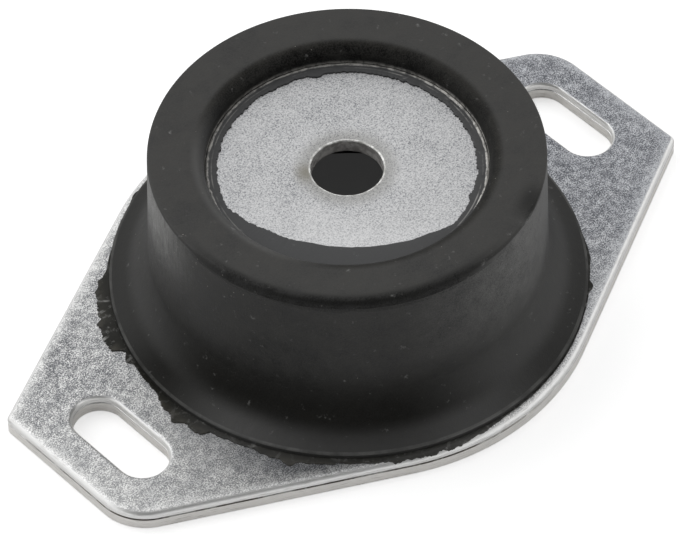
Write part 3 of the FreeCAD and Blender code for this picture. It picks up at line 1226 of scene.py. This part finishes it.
# %% Material: bare steel
def make_bare_steel():
    """Fine even speckle, painted light on the near side, a bright rolled rim at the hole, a dull bore
    and a rubber smear.
    """
    material, tree, shader = new_material("bare_steel_disc")
    _, radius, height = place_on_axis(tree)
    speckle = effect(tree, "fine_speckle", Grain=0.31, Cloud=7.0, Cloudiness=0.2)
    colour = ramp(tree, speckle, [
        (0.0, (0.22, 0.225, 0.24)), (0.25, (0.44, 0.445, 0.455)), (1.0, (0.67, 0.67, 0.675))])
    # painted light: the face is paler on the near side, more so away from the hole
    front = effect(tree, "one_side", Heading=-132.0, Spread=100.0, Foot=36.0, Head=37.0)
    paler = times(tree, front, stretch(tree, radius, 8.0, 22.0, 0.0, 0.3))
    colour = blend_colour(tree, paler, colour, (0.80, 0.80, 0.80))
    colour = hole_marks(tree, colour, radius)
    rim = fall(tree, radius, hole_radius + 0.3, hole_radius + 0.55)
    burrs = effect(tree, "worn_patches", Size=1.5, Cover=0.5)
    bright = blend_colour(tree, burrs, (0.42, 0.42, 0.40), (0.88, 0.88, 0.86))
    colour = blend_colour(tree, rim, colour, bright)
    bore = times(tree, fall(tree, height, disc_top - 0.55, disc_top - 0.35), rim)
    dirty = blend_colour(tree, burrs, (0.34, 0.33, 0.32), (0.58, 0.57, 0.55))
    colour = blend_colour(tree, bore, colour, dirty)
    feed(tree, colour, shader.inputs["Base Color"])
    feed(tree, stretch(tree, bore, 0.0, 1.0, 0.85, 0.3), shader.inputs["Metallic"])
    feed(tree, stretch(tree, speckle, 0.0, 1.0, 0.40, 0.52), shader.inputs["Roughness"])
    feed(tree, bump(tree, speckle, 0.3, 0.03), shader.inputs["Normal"])
    print("bare_steel_disc", len(tree.nodes), "nodes")
    return material


bare_steel_disc = make_bare_steel()
crown_disc.data.materials.append(bare_steel_disc)

# %% [markdown]
# ## Studio floor
# The mount stands on pale paper. A curved backdrop would give a soft horizon, but the room is
# white to the eye already, so a flat sheet is enough. The paper scatters light, and a glow that
# only the eye sees lifts what isn't shaded to white. Under the mount there is almost no glow,
# so the ground seen through the bolt hole stays dim.

# %% Floor
FLOOR = -0.02 * MM  # a hair under the plate, so that the two faces never share a plane
FLOOR_REACH = 2.0


def make_floor_paper():
    """White paper: scatters light, and is lifted to white for the eye outside the mount."""
    material, tree, shader = new_material("floor_paper")
    tree.nodes.remove(shader)
    paper = add(tree, "ShaderNodeBsdfDiffuse")
    tone = stretch(tree, noise_node(tree, object_place(tree), 40.0), 0.0, 1.0, 0.84, 0.86)
    feed(tree, tone, paper.inputs["Color"])
    lift = add(tree, "ShaderNodeEmission")
    eye = add(tree, "ShaderNodeLightPath").outputs["Is Camera Ray"]
    outside = stretch(tree, place_on_axis(tree)[1], 38.5, 41.5, 0.05)
    feed(tree, times(tree, eye, outside, 0.5), lift.inputs["Strength"])
    both = add(tree, "ShaderNodeAddShader")
    feed(tree, paper.outputs[0], both.inputs[0])
    feed(tree, lift.outputs[0], both.inputs[1])
    feed(tree, both.outputs[0], tree.nodes["Material Output"].inputs["Surface"])
    return material


floor_corners = [(x * FLOOR_REACH, y * FLOOR_REACH, FLOOR)
                 for x, y in ((-1, -1), (1, -1), (1, 1), (-1, 1))]
floor_mesh = bpy.data.meshes.new("studio_floor")
floor_mesh.from_pydata(floor_corners, [], [(0, 1, 2, 3)])
floor_mesh.materials.append(make_floor_paper())
studio_floor = bpy.data.objects.new("studio_floor", floor_mesh)
bpy.context.scene.collection.objects.link(studio_floor)
print("floor", 2 * FLOOR_REACH, "m across")

# %% [markdown]
# ## Room
# Black rubber shows its form only by what it reflects. A room that is white all over would
# leave it flat and grey. So the room has one dim opening on the side where one stands, and its
# soft border runs over the rubber as a gradient. To the eye the room is plain white.

# %% Room
DIM_OPENING = (-0.445, -0.487, 0.752)  # way towards the side where one stands and looks in


def make_room():
    """White for the eye; for everything else a white room with one dim opening."""
    world = bpy.data.worlds.new("white_room")
    world.use_nodes = True
    tree = world.node_tree
    shade = tree.nodes["Background"]
    shade.inputs["Color"].default_value = (1.0, 1.0, 1.0, 1.0)
    toward = add(tree, "ShaderNodeVectorMath", operation="DOT_PRODUCT")
    feed(tree, add(tree, "ShaderNodeTexCoord").outputs["Generated"], toward.inputs[0])
    toward.inputs[1].default_value = DIM_OPENING
    room = stretch(tree, toward.outputs["Value"], 0.58, 0.97, 0.95, 0.05)
    eye = add(tree, "ShaderNodeLightPath").outputs["Is Camera Ray"]
    strength = plus(tree, eye, times(tree, room, minus(tree, 1.0, eye)))
    feed(tree, strength, shade.inputs["Strength"])
    return world


bpy.context.scene.world = make_room()
print("room:", bpy.context.scene.world.name)

# %% [markdown]
# ## Lamp
# One large soft lamp stands behind and to one side, and draws a broad light edge over the
# crown. A small lamp or a sun would do so too, but with a hard shadow and glints on the plate.

# %% Lamp
LAMP_HEADING = 112.0
LAMP_RISE = 50.0
LAMP_DISTANCE = 1.1

lamp_data = bpy.data.lights.new("soft_lamp", "AREA")
lamp_data.shape = "SQUARE"
lamp_data.size = 0.9
lamp_data.energy = 2.5
soft_lamp = bpy.data.objects.new("soft_lamp", lamp_data)
middle = Vector((0.0, 0.0, 0.5 * crown_top * MM))
lamp_plan = bearing(LAMP_HEADING) * math.cos(math.radians(LAMP_RISE))
lamp_way = Vector((lamp_plan.x, lamp_plan.y, math.sin(math.radians(LAMP_RISE))))
soft_lamp.location = middle + lamp_way * LAMP_DISTANCE
soft_lamp.rotation_euler = (soft_lamp.location - middle).to_track_quat("Z", "Y").to_euler()
bpy.context.scene.collection.objects.link(soft_lamp)
print("lamp at", [round(value, 2) for value in soft_lamp.location])

# %% [markdown]
# ## Camera
# A long lens looks down across one corner of the plate. A short lens close by would show the
# same side, but would swell the near end. The camera could be aimed by a constraint, but it
# leans over by one degree, so its three directions are worked out and put in a matrix.

# %% Camera
CAMERA_DISTANCE = 1.002
LOOKED_AT = Vector((-10.44, -8.71, 22.0)) * MM

azimuth, elevation, lean = math.radians(-42.44), math.radians(48.75), math.radians(-1.0)
back = Vector((math.sin(azimuth) * math.cos(elevation), -math.cos(azimuth) * math.cos(elevation),
               math.sin(elevation)))
level_right = Vector((math.cos(azimuth), math.sin(azimuth), 0.0))
level_up = back.cross(level_right)
right = level_right * math.cos(lean) + level_up * math.sin(lean)
up = level_up * math.cos(lean) - level_right * math.sin(lean)
camera_data = bpy.data.cameras.new("long_lens")
camera_data.lens = 257.44
camera_data.sensor_width = 36.0
camera = bpy.data.objects.new("long_lens", camera_data)
turned = Matrix((right, up, back)).transposed().to_4x4()
camera.matrix_world = Matrix.Translation(LOOKED_AT + back * CAMERA_DISTANCE) @ turned
bpy.context.scene.collection.objects.link(camera)
bpy.context.scene.camera = camera
bpy.context.scene.view_settings.view_transform = "Standard"
print("camera at", [round(value, 3) for value in camera.matrix_world.translation])
